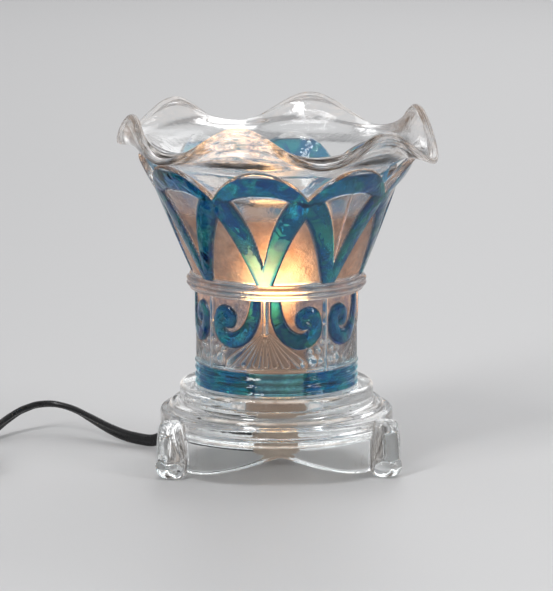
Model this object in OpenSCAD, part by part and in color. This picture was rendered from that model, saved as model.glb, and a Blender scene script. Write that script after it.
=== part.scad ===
// Electric aroma warmer: a ruffled oil dish on a flared pressed-glass shade, lit and heated from
// below by a small screw-in bulb, on a stepped glass base with three feet and a dimmed mains cord.
// Millimetres, +Z up, origin on the table under the middle of the base, front towards -Y.

/* [Dish] */
// Mean radius of the ruffled rim
dish_rim_r = 70; // [68:0.5:74]
// Rise and fall of the rim about its mean height
dish_wave_h = 7.4; // [4:0.2:8]
// In and out swing of the rim, outward in the dips
dish_wave_r = 2.5; // [0:0.1:3]
// Sag of the hand-shaped rim on its lower side
dish_sag = 4.4; // [0:0.2:5]
// Glass thickness of the dish
dish_wall = 4; // [3:0.2:4.6]
// How far the dish is turned on the shade, degrees
dish_turn = -16; // [-60:1:60]

/* [Shade] */
// Height of the shade, seat to the tips of its lobes
shade_h = 103.4; // [95:0.1:111]
// Outer radius of the straight lower part
waist_r = 36.8; // [36.2:0.2:38]
// Outer radius at the tips of the lobes
mouth_r = 63.8; // [61.8:0.2:65.2]
// Depth of the notches between the lobes
notch_depth = 12.6; // [9:0.2:14]
// Glass thickness of the lower part
shade_wall = 5.8; // [5.4:0.1:6]
// Height of the pressed pattern above its ground
relief = 1.6; // [0.8:0.1:2]
// How far the shade is turned on the base, degrees
shade_turn = -10; // [-45:1:45]

/* [Base] */
// Height of the top face of the base
base_h = 38; // [37:0.5:42]
// Radius of the widest step
base_r = 52.6; // [52:0.2:54]
// Distance of each foot from the axis
foot_ring_r = 54.5; // [54:0.5:56]
// Radius of a foot at its widest
toe_r = 8; // [7:0.2:8.4]
// Height of the arches between the feet
arch_rise = 12; // [9:0.5:13]

/* [Lamp] */
// Greatest radius of the bulb
bulb_r = 14; // [12:0.5:16]
// Height of the bulb, contact to tip
bulb_h = 55.2; // [50:0.2:58]
// Radius of the lampholder barrel
holder_r = 13.5; // [13.2:0.1:13.9]

/* [Cord] */
// Width of the flat twin cord
cord_w = 5.6; // [5:0.1:5.7]
// Thickness of the flat twin cord
cord_t = 2.8; // [2.5:0.1:2.85]
// Radius of the dimmer's thumbwheel
wheel_r = 15.6; // [15:0.1:15.8]

/* [Hidden] */

$fn = 96;
over = 0.1;
seat_gap = 0.3;
run_gap = 0.05;

// Levels of the shade, from its seat up
seat_z = base_h + seat_gap;
band_h = 10;
ring_h = 7;
ring_lo = 43;
ring_z = seat_z + ring_lo;
ring_top = ring_z + ring_h;
lobe_z = seat_z + shade_h;
notch_z = lobe_z - notch_depth;
collar_r = waist_r + 2.2;
ring_bulge = 3.5;
lip_wall = 3.6;
arch_below_lobe = 7;
arch_h = lobe_z - ring_top - arch_below_lobe;
arch_power = 2.6;
arch_half_top = 4.9;
arch_half_foot = 2.7;
arch_swell = 2;

// Lampholder levels, from the top face of the base
plate_t = 6;
gasket_t = 0.8;
flange_z = base_h + gasket_t;
flange_t = 2.5;
flange_r = 20;
hole_r = 14.3;
barrel_below = 14;
barrel_above = 28;
barrel_wall = 2.3;
socket_above = 8;
tip_above = 9;
barrel_lo = base_h - barrel_below;
barrel_hi = base_h + barrel_above;
socket_z = base_h + socket_above;
socket_r = 8;
floor_t = 3;
tip_z = base_h + tip_above;
cap_r = 6.95;
plunger_r = 3;
cup_lo = 5.5;
cup_r = 10;
cup_wall = 2;
boot_z = 9.8;
boot_end = 40;
boot_r = 4.2;
boot_tip_r = 3.3;
lock_t = 4;
lock_r = flange_r - 1;
terminal_x = 6.5;
outlet = 150;

// Cord layout on the table
dimmer_at = [-148, -15, 0];
dimmer_size = [28, 44, 15.6];
dimmer_mid = 8;
collar_l = 7;
coil_at = [-230, -36];
coil_out_r = 34;
coil_turns = 6;
coil_clear = 0.6;
coil_pitch = cord_t + coil_clear;
coil_low = 0.9 + cord_w / 2;
coil_rise = cord_w + 0.5;
plug_at = [-196, 8, 9.2];
lead_route = [[-34.641, 20, 9.8, 90], [-40, 23.1, 9.4, 90], [-45.5, 26, 7.9, 90], [-51, 28.7, 5.6, 90],
    [-56.3, 31.3, 3.4, 90], [-62.3, 34.8, 3.4, 88], [-69.3, 40.2, 4, 84], [-76.4, 47.5, 5.5, 74],
    [-83.6, 55.8, 7.7, 56], [-90.7, 63, 10.2, 36], [-94.4, 66, 11.2, 28], [-98, 68.2, 11.9, 22],
    [-101.5, 69.7, 12.4, 20], [-105, 70.3, 12.6, 20], [-108.6, 70, 12.5, 22], [-112.1, 68.8, 12.2, 26],
    [-115.6, 67, 11.3, 32], [-119.1, 64.4, 10.3, 40], [-124.5, 59.2, 7.7, 54], [-129, 53, 5.4, 68],
    [-135, 43.5, 3.6, 82], [-140, 35.5, 3.8, 90], [-144.6, 27.5, 5.6, 90], [-147.2, 21, 7.4, 90],
    [-148, 14, 8, 90]];
mid_route = [[-148, -44, 8, 90], [-148, -51, 7, 90], [-148, -58, 5.6, 90], [-149.8, -67.2, 4.6, 90],
    [-155, -75, 4, 90], [-162.8, -80.2, 3.8, 90], [-172, -82, 3.7, 90], [-181.2, -80.2, 3.7, 90],
    [-189, -75, 3.7, 90], [-194.2, -67.2, 3.7, 90], [-196, -58, 3.7, 90], [-196, -50, 3.7, 90],
    [-196, -42, 3.7, 90]];
end_route = [[-196, -30, 9.8, 90], [-196, -20, 9.7, 90], [-196, -10, 9.5, 90], [-196, 0, 9.3, 90],
    [-196, 8, 9.2, 90]];

// Helpers
function bump(x) = max(0, 1 - x * x);
function ease(x) = let (c = min(1, max(0, x))) c * c * (3 - 2 * c);
function mix(a, b, f) = a + (b - a) * f;
function unit(v) = v / norm(v);

// Triangles of a grid of rows by columns, closed round its columns
function grid(rows, cols, wrap) = [for (i = [0 : wrap ? rows - 1 : rows - 2], j = [0 : cols - 1])
    let (a = i * cols + j, b = i * cols + (j + 1) % cols, c = (i + 1) % rows * cols + j,
        d = (i + 1) % rows * cols + (j + 1) % cols)
    each [[a, c, b], [b, c, d]]];

module ring(outer, inner, low, high) {
    translate([0, 0, low]) difference() {
        cylinder(r = outer, h = high - low);
        translate([0, 0, -over]) cylinder(r = inner, h = high - low + 2 * over);
    }
}

module rod(from, to, r) {
    v = to - from;
    translate(from) rotate([0, acos(v[2] / norm(v)), atan2(v[1], v[0])])
        cylinder(r = r, h = norm(v), $fn = 24);
}

// Dish: one profile, outside up to the rim and inside back down, waved more and more towards the rim
seat_r = mouth_r - lip_wall;
flare = dish_rim_r - seat_r;
rim_rise = 9.3;
bowl_depth = 20.7;
dish_lift = 0.45;
bowl_lift = 0.1;
dish_out = [[0.48, 1], [0.58, 0.92], [0.69, 0.68], [0.81, 0.375], [0.91, 0.14]];
dish_half = concat([for (p = dish_out) [p[0] * seat_r, bowl_lift - p[1] * bowl_depth, 0]],
    [[seat_r, dish_lift, 0], [seat_r + 0.35 * flare, 0.36 * rim_rise, 0.24],
    [seat_r + 0.72 * flare, 0.68 * rim_rise, 0.64], [dish_rim_r, rim_rise, 1]]);
dish_thick = [1, 1.08, 1.22, 1.26, 1.26, 1.26, 1.26, 1.22];
dish_profile = concat(dish_half,
    [[dish_rim_r + 0.05 * dish_wall, rim_rise + 0.4 * dish_wall, 1],
    [dish_rim_r - 0.4 * dish_wall, rim_rise + 0.75 * dish_wall, 1],
    [dish_rim_r - 0.85 * dish_wall, rim_rise + 0.45 * dish_wall, 1]],
    [for (i = [7 : -1 : 0]) dish_half[i] + [i > 5 ? -0.3 * dish_wall : 0, dish_wall * dish_thick[i], 0]]);
dish_cols = 72;
dish_waves = 6;
dish_low = dish_half[0][1];
sag_at = 75;
sag_half = 42;

function dish_point(p, a) = let (c = cos(dish_waves * a), r = p[0] - dish_wave_r * p[2] * c,
        sag = dish_sag * bump((a - sag_at) / sag_half))
    [r * cos(a), r * sin(a), lobe_z + p[1] + p[2] * (dish_wave_h * c - sag)];

module oil_dish() {
    rows = len(dish_profile);
    last = rows * dish_cols;
    points = concat([for (p = dish_profile, j = [0 : dish_cols - 1]) dish_point(p, 360 * j / dish_cols)],
        [[0, 0, lobe_z + dish_low], [0, 0, lobe_z + dish_low + dish_wall]]);
    bottom = [for (j = [0 : dish_cols - 1]) [last, j, (j + 1) % dish_cols]];
    edge = last - dish_cols;
    top = [for (j = [0 : dish_cols - 1]) [last + 1, edge + (j + 1) % dish_cols, edge + j]];
    color([0.9, 0.95, 0.97, 0.5]) rotate([0, 0, dish_turn - 90])
        polyhedron(points, concat(grid(rows, dish_cols, false), bottom, top), convexity = 6);
}

// Shade pattern: angles from a lobe's middle, heights from the seat
function lobe_off(a) = a - 45 * round(a / 45);
function rim_z(a) = notch_z + notch_depth * (1 - pow(lobe_off(a) / 22.5, 2));
function flare_r(z) = let (t = max(0, (z - ring_top) / (lobe_z - ring_top)))
    collar_r + (mouth_r - collar_r) * (0.845 * t + 0.155 * pow(t, 5));
function ring_r(z) = let (u = (z - ring_z - ring_h / 2) / (ring_h / 2 + 0.4))
    collar_r + ring_bulge * (sqrt(bump(u)) - 0.55);
function body_r(z) = z >= ring_top ? flare_r(z) : z > ring_z ? ring_r(z) : waist_r;
function inner_r(z) = z >= ring_top
    ? flare_r(z) - mix(shade_wall + 2.2, lip_wall, ease((z - ring_top) / (lobe_z - ring_top)))
    : waist_r - shade_wall;

// Interlaced arches of the upper tier
function arch_z(o) = ring_top + arch_h * (1 - pow(abs(o) / 45, arch_power));
function arch_slope(o, z) = arch_h * arch_power / 45 * pow(abs(o) / 45, arch_power - 1)
    / (body_r(z) * PI / 180);
function band_half(o) = let (f = abs(o) / 45)
    mix(arch_half_top, arch_half_foot, pow(f, 3)) + arch_swell * bump((f - 0.66) / 0.3);
function arch(o, z) = abs(o) > 46 ? 0
    : bump((z - arch_z(o)) / sqrt(1 + pow(arch_slope(o, z), 2)) / band_half(o));
function arches(a, z) = let (o = lobe_off(a)) max(arch(o, z), arch(o - 45, z), arch(o + 45, z));

// Scroll, fan and divider of the lower tier, s along the wall from the fan's middle. The scroll is a band
// along a line of places with half widths.
scroll_line = [[4.6, 41.5, 2.6], [5.4, 35.5, 3.2], [7.6, 30, 3.6], [11.2, 26, 3.9], [15.8, 24.2, 3.9],
    [20.4, 25, 3.8], [23.4, 28.2, 3.7], [23.9, 32.4, 3.4], [22.8, 35.8, 3.3], [20, 36.6, 3.3],
    [17, 34.9, 3.3]];
scroll_spots = [for (i = [0 : len(scroll_line) - 2], f = [0, 0.33, 0.67])
    mix(scroll_line[i], scroll_line[i + 1], f)];
fan_c = 29.3;
fan_step = 16;
fan_last = 3;
fan_depth = 17.4;
function scroll(s, h) = max([for (p = scroll_spots) bump(norm([s - p[0], h - p[1]]) / p[2])]);
function fan(s, h) = let (v = [s, fan_c - h], a = atan2(v[0], v[1]),
        petal = fan_step * min(fan_last, round(a / fan_step)))
    norm(v) < 3 ? 0
    : bump((a - petal) / (0.47 * fan_step)) * ease((fan_depth / cos(petal) - norm(v)) / 2.5);
function rib(s, h) = h < fan_c ? 0 : bump(s / 1.6);
function divider(s) = bump((waist_r * PI / 4 - s) / 1.5);
function bead(s, h) = bump(norm([s - 22.6, h - 15.6]) / 3.2);
function motif(a, h) = let (s = abs(a - 90 * round(a / 90)) * waist_r * PI / 180)
    max(scroll(s, h), fan(s, h), rib(s, h), divider(s), bead(s, h));
function band(h) = 0.75 + 0.25 * cos(1080 * h / band_h);
function raised(a, z) = let (h = z - seat_z)
    z >= ring_top ? arches(a, z) : z > ring_z ? 1 : h <= band_h ? band(h)
    : h < band_h + 2 ? 0.6 : motif(a, h);

shade_cols = 112;
low_rows = [for (i = [0 : 6]) band_h * i / 6];
tier_rows = [for (i = [0 : 14]) mix(11.8, ring_lo - 0.5, i / 14)];
ring_rows = [ring_lo + 0.6, ring_lo + 2, ring_lo + 3.5, ring_lo + 5, ring_lo + 6.4];
upper_rows = [for (i = [0 : 12]) i / 12];
inner_rows = [1, 0.75, 0.5, 0.25, 0];

function shade_point(r, a, z) = [r * cos(a), r * sin(a), z];
function upper_z(t, a) = mix(ring_top, rim_z(a), t);

module shade() {
    low = concat(low_rows, tier_rows, ring_rows);
    angles = [for (j = [0 : shade_cols - 1]) 360 * j / shade_cols];
    points = concat(
        [for (h = low, a = angles) let (z = seat_z + h)
            shade_point(body_r(z) - relief * (1 - raised(a, z)), a, z)],
        [for (t = upper_rows, a = angles) let (z = upper_z(t, a))
            shade_point(body_r(z) - relief * (1 - raised(a, z)), a, z)],
        [for (t = inner_rows, a = angles) let (z = upper_z(t, a)) shade_point(inner_r(z), a, z)],
        [for (h = [ring_lo, 0], a = angles) shade_point(inner_r(seat_z + h), a, seat_z + h)]);
    rows = len(points) / shade_cols;
    color([0.25, 0.6, 0.8, 0.6]) rotate([0, 0, shade_turn - 90])
        polyhedron(points, grid(rows, shade_cols, true), convexity = 10);
}

// Base: stepped rings over an open hollow, a scalloped skirt and three feet
skirt_r = base_r - 1.4;
skirt_in = skirt_r - 5;
skirt_z = 2.4;
step_r = 43.7;
hollow_r = 37.5;
spigot_r = waist_r - shade_wall - 0.5;
spigot_h = 2.5;
base_profile = [[hole_r, base_h], [spigot_r - 4, base_h], [spigot_r - 4, base_h + spigot_h],
    [spigot_r, base_h + spigot_h], [spigot_r, base_h], [step_r - 1.5, base_h], [step_r, base_h - 1.5],
    [step_r, 30.4], [step_r + 0.7, 29.6], [base_r - 5.2, 29.4], [base_r - 4.2, 28.4], [base_r - 4.2, 26.8],
    [base_r - 1.4, 26.5], [base_r, 25.1], [base_r, 19.2], [skirt_r, 17.8], [skirt_r, skirt_z],
    [skirt_in, skirt_z], [skirt_in, 20.5], [hollow_r, 20.5], [hollow_r, base_h - plate_t],
    [hole_r, base_h - plate_t]];
foot_profile = [[0, 0], [5.2, 0], [toe_r - 0.8, 1.6], [toe_r, 4.2], [toe_r - 0.2, 7.5], [toe_r - 0.6, 10.5],
    [toe_r - 0.8, 13], [toe_r - 0.8, 16.5], [toe_r - 1.3, 21], [toe_r - 2.2, 24.2], [toe_r - 4, 25.7],
    [0, 26.2]];
arch_span = 52;
arch_point = 1.6;
arch_steps = 9;
arch_step = 4.2;
arch_half = arch_steps * arch_step;
cut_in = 12;
cut_l = 30;
root_w = 8;
arch_edge = [for (i = [-arch_steps : arch_steps])
    let (t = i * arch_step, a = sqrt(pow(asin(t / skirt_r), 2) + 9))
    [t, skirt_z + arch_rise * pow(max(0, 1 - a / arch_span), arch_point)]];

module glass_base() {
    color([0.9, 0.95, 0.97, 0.5]) {
        difference() {
            rotate_extrude() polygon(base_profile);
            for (a = [-90, 30, 150]) rotate([0, 0, a]) translate([skirt_in - cut_in, 0, 0])
                rotate([90, 0, 90]) linear_extrude(cut_l)
                    polygon(concat([[-arch_half, -1]], arch_edge, [[arch_half, -1]]));
        }
        for (a = [-150, -30, 90]) rotate([0, 0, a]) {
            translate([foot_ring_r, 0, 0]) rotate_extrude() polygon(foot_profile);
            translate([skirt_in + 1, -root_w / 2, skirt_z + 1])
                cube([foot_ring_r - skirt_in - 1, root_w, 15]);
        }
    }
}

// Lampholder clamped through the hole in the base
module holder_body() {
    color([0.93, 0.91, 0.85]) difference() {
        union() {
            translate([0, 0, barrel_lo]) cylinder(r = holder_r, h = barrel_hi - barrel_lo);
            translate([0, 0, flange_z]) cylinder(r = flange_r, h = flange_t);
        }
        translate([0, 0, socket_z]) cylinder(r = socket_r, h = barrel_hi);
        translate([0, 0, barrel_lo]) cylinder(r = plunger_r + run_gap, h = barrel_hi - barrel_lo);
        translate([0, 0, barrel_lo - over])
            cylinder(r = holder_r - barrel_wall, h = socket_z - floor_t - barrel_lo + over);
    }
}

module upper_gasket() {
    color([0.85, 0.84, 0.8]) ring(flange_r, hole_r, base_h, flange_z);
}

module lower_gasket() {
    color([0.85, 0.84, 0.8]) ring(lock_r, hole_r, base_h - plate_t - gasket_t, base_h - plate_t);
}

module lock_ring() {
    color([0.93, 0.91, 0.85]) difference() {
        ring(lock_r, holder_r + run_gap, base_h - plate_t - gasket_t - lock_t, base_h - plate_t - gasket_t);
        for (a = [0 : 45 : 315]) rotate([0, 0, a]) translate([lock_r + 0.6, 0, barrel_lo])
            cylinder(r = 1.4, h = barrel_below, $fn = 24);
    }
}

block_h = 12;
block_gap = 0.2;
well_depth = 8;
plunger_drop = 7;
screw_r = 1.45;
screw_l = 5;
screw_head_r = 2.4;
screw_head_t = 1.8;
block_lo = socket_z - floor_t - block_h;
spring_lo = socket_z - floor_t - well_depth;
plunger_lo = socket_z - plunger_drop;
plunger_hi = tip_z - seat_gap;

module terminal_block() {
    color([0.85, 0.82, 0.72]) difference() {
        translate([0, 0, block_lo]) cylinder(r = holder_r - barrel_wall - block_gap, h = block_h);
        translate([0, 0, spring_lo]) cylinder(r = plunger_r + seat_gap, h = block_h);
        for (s = [-1, 1]) translate([terminal_x * s, 0, block_lo - over])
            cylinder(r = screw_r + run_gap, h = screw_l + 1 + over, $fn = 24);
    }
}

module terminal_screws() {
    color([0.8, 0.7, 0.4]) for (s = [-1, 1]) translate([terminal_x * s, 0, 0]) {
        translate([0, 0, block_lo]) cylinder(r = screw_r, h = screw_l, $fn = 24);
        translate([0, 0, block_lo - screw_head_t]) cylinder(r = screw_head_r, h = screw_head_t, $fn = 24);
    }
}

module screw_shell() {
    color([0.82, 0.68, 0.35]) ring(socket_r - 0.1, cap_r + 0.35, socket_z + 0.3, socket_z + 16);
}

spring_turns = 4;
spring_wire = 0.4;
spring_rings = 12 * spring_turns;

module contact_spring() {
    rise = plunger_lo - spring_lo - 2 * spring_wire - 0.1;
    points = [for (i = [0 : spring_rings], k = [0 : 5])
        let (a = 30 * i, r = 2.2 + spring_wire * cos(60 * k))
        [r * cos(a), r * sin(a),
            spring_lo + spring_wire + 0.05 + rise * i / spring_rings + spring_wire * sin(60 * k)]];
    color([0.7, 0.7, 0.72]) polyhedron(points, concat([[5, 4, 3, 2, 1, 0]],
        grid(spring_rings + 1, 6, false), [[for (k = [0 : 5]) spring_rings * 6 + k]]), convexity = 8);
}

module centre_contact() {
    color([0.82, 0.68, 0.35]) translate([0, 0, plunger_lo])
        cylinder(r = plunger_r, h = plunger_hi - plunger_lo);
}

module leads() {
    root = (cup_r - cup_wall - 1.5) * [cos(outlet), sin(outlet), 0];
    color([0.15, 0.15, 0.16]) for (s = [-1, 1]) {
        start = root + [0, 0, boot_z - 1.5 * s];
        knee = [terminal_x * s, 0, boot_z + 4];
        rod(start, knee, 1.1);
        translate(knee) sphere(r = 1.3, $fn = 24);
        rod(knee, [terminal_x * s, 0, block_lo - screw_head_t], 1.1);
    }
}

module holder_cap() {
    color([0.93, 0.91, 0.85]) difference() {
        union() {
            translate([0, 0, cup_lo]) cylinder(r = cup_r, h = barrel_lo - cup_lo);
            translate([0, 0, barrel_lo - cup_wall]) cylinder(r = holder_r, h = cup_wall);
        }
        translate([0, 0, cup_lo + cup_wall]) cylinder(r = cup_r - cup_wall, h = barrel_lo);
    }
}

module cord_boot() {
    color([0.08, 0.08, 0.08]) difference() {
        rotate([0, 0, outlet]) translate([cup_r - 2, 0, boot_z]) rotate([0, 90, 0])
            cylinder(r1 = boot_r, r2 = boot_tip_r, h = boot_end - cup_r + 2, $fn = 48);
        cylinder(r = cup_r, h = barrel_lo);
    }
}

// Bulb
bulb_top = tip_z + bulb_h;
cap_lo = tip_z + 4;
cap_hi = tip_z + 19;
bulb_mid = cap_hi + 19.5;
crown = bulb_top - bulb_mid;
neck_r = 6.1;
bulb_out = [[neck_r, cap_lo + 5], [neck_r, cap_hi + 0.2], [7.2, cap_hi + 2], [0.6 * bulb_r, cap_hi + 8],
    [0.83 * bulb_r, cap_hi + 14], [bulb_r, bulb_mid], [0.97 * bulb_r, bulb_mid + 0.31 * crown],
    [0.84 * bulb_r, bulb_mid + 0.62 * crown], [0.61 * bulb_r, bulb_mid + 0.85 * crown],
    [0.32 * bulb_r, bulb_mid + 0.97 * crown], [0, bulb_top]];
bulb_skin = 0.7;

module bulb_glass() {
    inner = [for (i = [len(bulb_out) - 1 : -1 : 0])
        [max(0, bulb_out[i][0] - bulb_skin), bulb_out[i][1] - (i > 5 ? bulb_skin : 0)]];
    color([1, 0.92, 0.75, 0.6]) rotate_extrude() polygon(concat(bulb_out, inner));
}

module bulb_cap() {
    color([0.82, 0.68, 0.35]) {
        ring(cap_r - 0.3, 6.4, cap_lo, cap_hi);
        for (i = [0 : 3]) translate([0, 0, cap_lo + 2 + 2.8 * i]) rotate_extrude()
            translate([cap_r - 0.35, 0]) circle(r = 0.4, $fn = 24);
    }
}

module bulb_insulator() {
    color([0.08, 0.08, 0.08]) translate([0, 0, tip_z + 1.4])
        cylinder(r1 = 4, r2 = 6.4, h = cap_lo - tip_z - 1.4);
}

module bulb_contact() {
    color([0.7, 0.7, 0.7]) translate([0, 0, tip_z]) cylinder(r = 2.6, h = 1.4);
}

wire_lo = cap_hi + 4;
wire_hi = bulb_mid - 1.5;

module bulb_stem() {
    color([0.9, 0.95, 0.97, 0.6]) {
        translate([0, 0, cap_lo]) cylinder(r = 5.4, h = 3);
        translate([0, 0, cap_lo + 3]) cylinder(r1 = 4, r2 = 2.4, h = wire_lo - cap_lo - 3);
    }
}

module bulb_filament() {
    span = 0.45 * bulb_r;
    color([1, 0.8, 0.4]) {
        for (s = [-1, 1]) rod([1.4 * s, 0, wire_lo], [span * s, 0, wire_hi], 0.35);
        rod([-span - 0.5, 0, wire_hi], [span + 0.5, 0, wire_hi], 0.6);
    }
}

// Flat twin cord: a rounded flat section carried along a route of x, y, z and roll
flat = [for (k = [0 : 7]) let (a = 22.5 + 45 * k)
    [sign(cos(a)) * (cord_w - cord_t) / 2 + cord_t / 2 * cos(a), cord_t / 2 * sin(a)]];

function place(p) = [p[0], p[1], p[2]];
function along(route, i) = unit(place(route[min(i + 1, len(route) - 1)]) - place(route[max(i - 1, 0)]));
function across(t) = unit([-t[1], t[0], 0]);
function wide(t, roll) = across(t) * cos(roll) + cross(t, across(t)) * sin(roll);
function thin(t, roll) = cross(t, across(t)) * cos(roll) - across(t) * sin(roll);
function cord_points(route) = [for (i = [0 : len(route) - 1], k = [0 : 7]) let (t = along(route, i))
    place(route[i]) + flat[k][0] * wide(t, route[i][3]) + flat[k][1] * thin(t, route[i][3])];

module flat_cord(route) {
    n = len(route);
    start = [for (k = [7 : -1 : 0]) k];
    finish = [for (k = [0 : 7]) (n - 1) * 8 + k];
    color([0.05, 0.05, 0.05])
        polyhedron(cord_points(route),
            concat([start], [for (f = grid(n, 8, false)) [f[2], f[1], f[0]]], [finish]), convexity = 10);
}

module cord_lead() {
    flat_cord(lead_route);
}

module cord_mid() {
    flat_cord(mid_route);
}

module cord_end() {
    flat_cord(end_route);
}

// Stored coil: in along the table, up a layer at the middle turn, out again above
coil_half = coil_turns * 180;
function coil_r(a) = coil_out_r - coil_pitch * (coil_half - abs(a - coil_half)) / 360;
function coil_z(a) = coil_low + coil_rise * ease((a - coil_half + 90) / 180);
coil_turned = [for (i = [0 : 24 * coil_turns]) let (a = 15 * i)
    [coil_at[0] + coil_r(a) * cos(a), coil_at[1] + coil_r(a) * sin(a), coil_z(a), 90]];
coil_route = concat([[coil_at[0] + coil_out_r, coil_at[1] - 6, coil_low, 90]], coil_turned,
    [[coil_at[0] + coil_out_r, coil_at[1] + 6, coil_low + coil_rise, 90]]);
core = (cord_w - cord_t) / 2;
coil_last = len(coil_turned) - 1;
coil_gap = min([for (i = [0 : coil_last - 12], j = [i + 12 : coil_last], s = [-core, core], u = [-core, core])
    norm(place(coil_turned[i]) + [0, 0, s] - place(coil_turned[j]) - [0, 0, u])]) - cord_t;
echo(least_coil_gap_mm = coil_gap);

module cord_coil() {
    flat_cord(coil_route);
}

module cord_tie() {
    mid_r = coil_out_r - coil_pitch * coil_turns / 4;
    half = coil_pitch * coil_turns / 4 + cord_t / 2 + 0.6;
    top = coil_low + coil_rise + cord_w / 2 + 0.4;
    color([0.1, 0.1, 0.11]) translate([coil_at[0] - mid_r, coil_at[1] + 2.5, 0]) rotate([90, 0, 0])
        linear_extrude(5) difference() {
            translate([-half - 0.7, 0.05]) square([2 * half + 1.4, top + 0.65]);
            translate([-half, 0.7]) square([2 * half, top - 0.7]);
        }
}

// In-line dimmer
module dimmer_plan(grow) {
    w = dimmer_size[0] / 2 + grow;
    l = dimmer_size[1] / 2 + grow;
    r = 6 + grow;
    square([2 * w, 2 * (l - r)], center = true);
    square([2 * (w - r), 2 * l], center = true);
    for (x = [-1, 1], y = [-1, 1]) translate([x * (w - r), y * (l - r)]) circle(r = r);
}

boss_at = [[8.4, 16.6], [-8.4, -16.6]];
wheel_t = 5;

module dimmer_solid() {
    translate([0, 0, 0.2]) linear_extrude(dimmer_size[2]) dimmer_plan(0);
    for (s = [-1, 1]) translate([0, s * (dimmer_size[1] / 2 - 1), dimmer_mid]) rotate([-90 * s, 0, 0])
        cylinder(r1 = 5, r2 = 4, h = collar_l + 1);
}

module dimmer_hollow() {
    difference() {
        translate([0, 0, 2.2]) linear_extrude(dimmer_size[2] - 4) dimmer_plan(-2);
        for (p = boss_at) translate([p[0], p[1], 0]) cylinder(r = 2.6, h = 20);
    }
    translate([0, 0, dimmer_mid - wheel_t / 2 - 0.4]) cylinder(r = wheel_r + 0.4, h = wheel_t + 0.8);
    for (p = boss_at) translate([p[0], p[1], 0]) {
        cylinder(r = 2.4, h = 1.8, $fn = 24);
        cylinder(r = 1.35, h = 12.4, $fn = 24);
    }
}

module dimmer_shell(low, high) {
    color([0.07, 0.07, 0.07]) translate(dimmer_at) difference() {
        intersection() {
            dimmer_solid();
            translate([-30, -40, low]) cube([60, 80, high - low]);
        }
        dimmer_hollow();
    }
}

module dimmer_lower() {
    dimmer_shell(0, dimmer_mid);
}

module dimmer_upper() {
    dimmer_shell(dimmer_mid, 20);
}

module dimmer_wheel() {
    color([0.16, 0.16, 0.17]) translate(dimmer_at + [0, 0, dimmer_mid - wheel_t / 2]) difference() {
        cylinder(r = wheel_r, h = wheel_t);
        translate([0, 0, -over]) cylinder(r = 2.5 + run_gap, h = wheel_t + 2 * over);
        for (i = [0 : 29]) rotate([0, 0, 12 * i]) translate([wheel_r + 0.35, 0, -over])
            cylinder(r = 0.9, h = wheel_t + 2 * over, $fn = 16);
    }
}

module dimmer_pin() {
    color([0.7, 0.7, 0.72]) translate(dimmer_at + [0, 0, 2.2]) cylinder(r = 2.5, h = dimmer_size[2] - 4);
}

module dimmer_board() {
    color([0.2, 0.45, 0.25]) translate(dimmer_at + [0, 0, 2.2]) difference() {
        union() {
            translate([-5.4, -17.5, 0]) cube([10.8, 35, 1.4]);
            translate([-4, 9, 1.4]) cube([8, 6, 1.2]);
            translate([-3, -15, 1.4]) cube([6, 5, 1.2]);
        }
        translate([0, 0, -over]) cylinder(r = 3, h = 5);
    }
}

module dimmer_screws() {
    color([0.7, 0.7, 0.72]) translate(dimmer_at) for (p = boss_at) translate([p[0], p[1], 0.4]) {
        cylinder(r = 2.3, h = 1.4, $fn = 24);
        cylinder(r = 1.3, h = 11.6, $fn = 24);
    }
}

// Two-blade plug, its tail towards the coil
boot_l = 22;
plug_l = 24;
blade_l = 16;

module plug_body() {
    color([0.07, 0.07, 0.07]) translate(plug_at) {
        rotate([-90, 0, 0]) cylinder(r1 = 4.4, r2 = 6.5, h = boot_l);
        translate([0, boot_l, 0]) rotate([-90, 0, 0]) linear_extrude(plug_l) {
            square([24, 10], center = true);
            square([16, 18], center = true);
            for (x = [-1, 1], y = [-1, 1]) translate([8 * x, 5 * y]) circle(r = 4);
        }
    }
}

module plug_blades() {
    color([0.82, 0.76, 0.55]) translate(plug_at + [0, boot_l + plug_l, 0]) for (s = [-1, 1])
        difference() {
            translate([6.35 * s - 0.75, 0, -3.2]) cube([1.5, blade_l, 6.4]);
            translate([6.35 * s - 2, blade_l - 4, 0]) rotate([0, 90, 0]) cylinder(r = 1.6, h = 4, $fn = 24);
        }
}

glass_base();
holder_body();
upper_gasket();
lower_gasket();
lock_ring();
terminal_block();
terminal_screws();
screw_shell();
contact_spring();
centre_contact();
leads();
holder_cap();
cord_boot();
bulb_glass();
bulb_cap();
bulb_insulator();
bulb_contact();
bulb_stem();
bulb_filament();
shade();
oil_dish();
cord_lead();
dimmer_lower();
dimmer_upper();
dimmer_wheel();
dimmer_pin();
dimmer_board();
dimmer_screws();
cord_mid();
cord_coil();
cord_tie();
cord_end();
plug_body();
plug_blades();
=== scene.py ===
"""Looks of the electric aroma warmer: pressed glass, a lit bulb and a twin cord on a plain pale table.

Shapes are worked out in millimetres and turned into metres when a piece is made.
"""

import math

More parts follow.
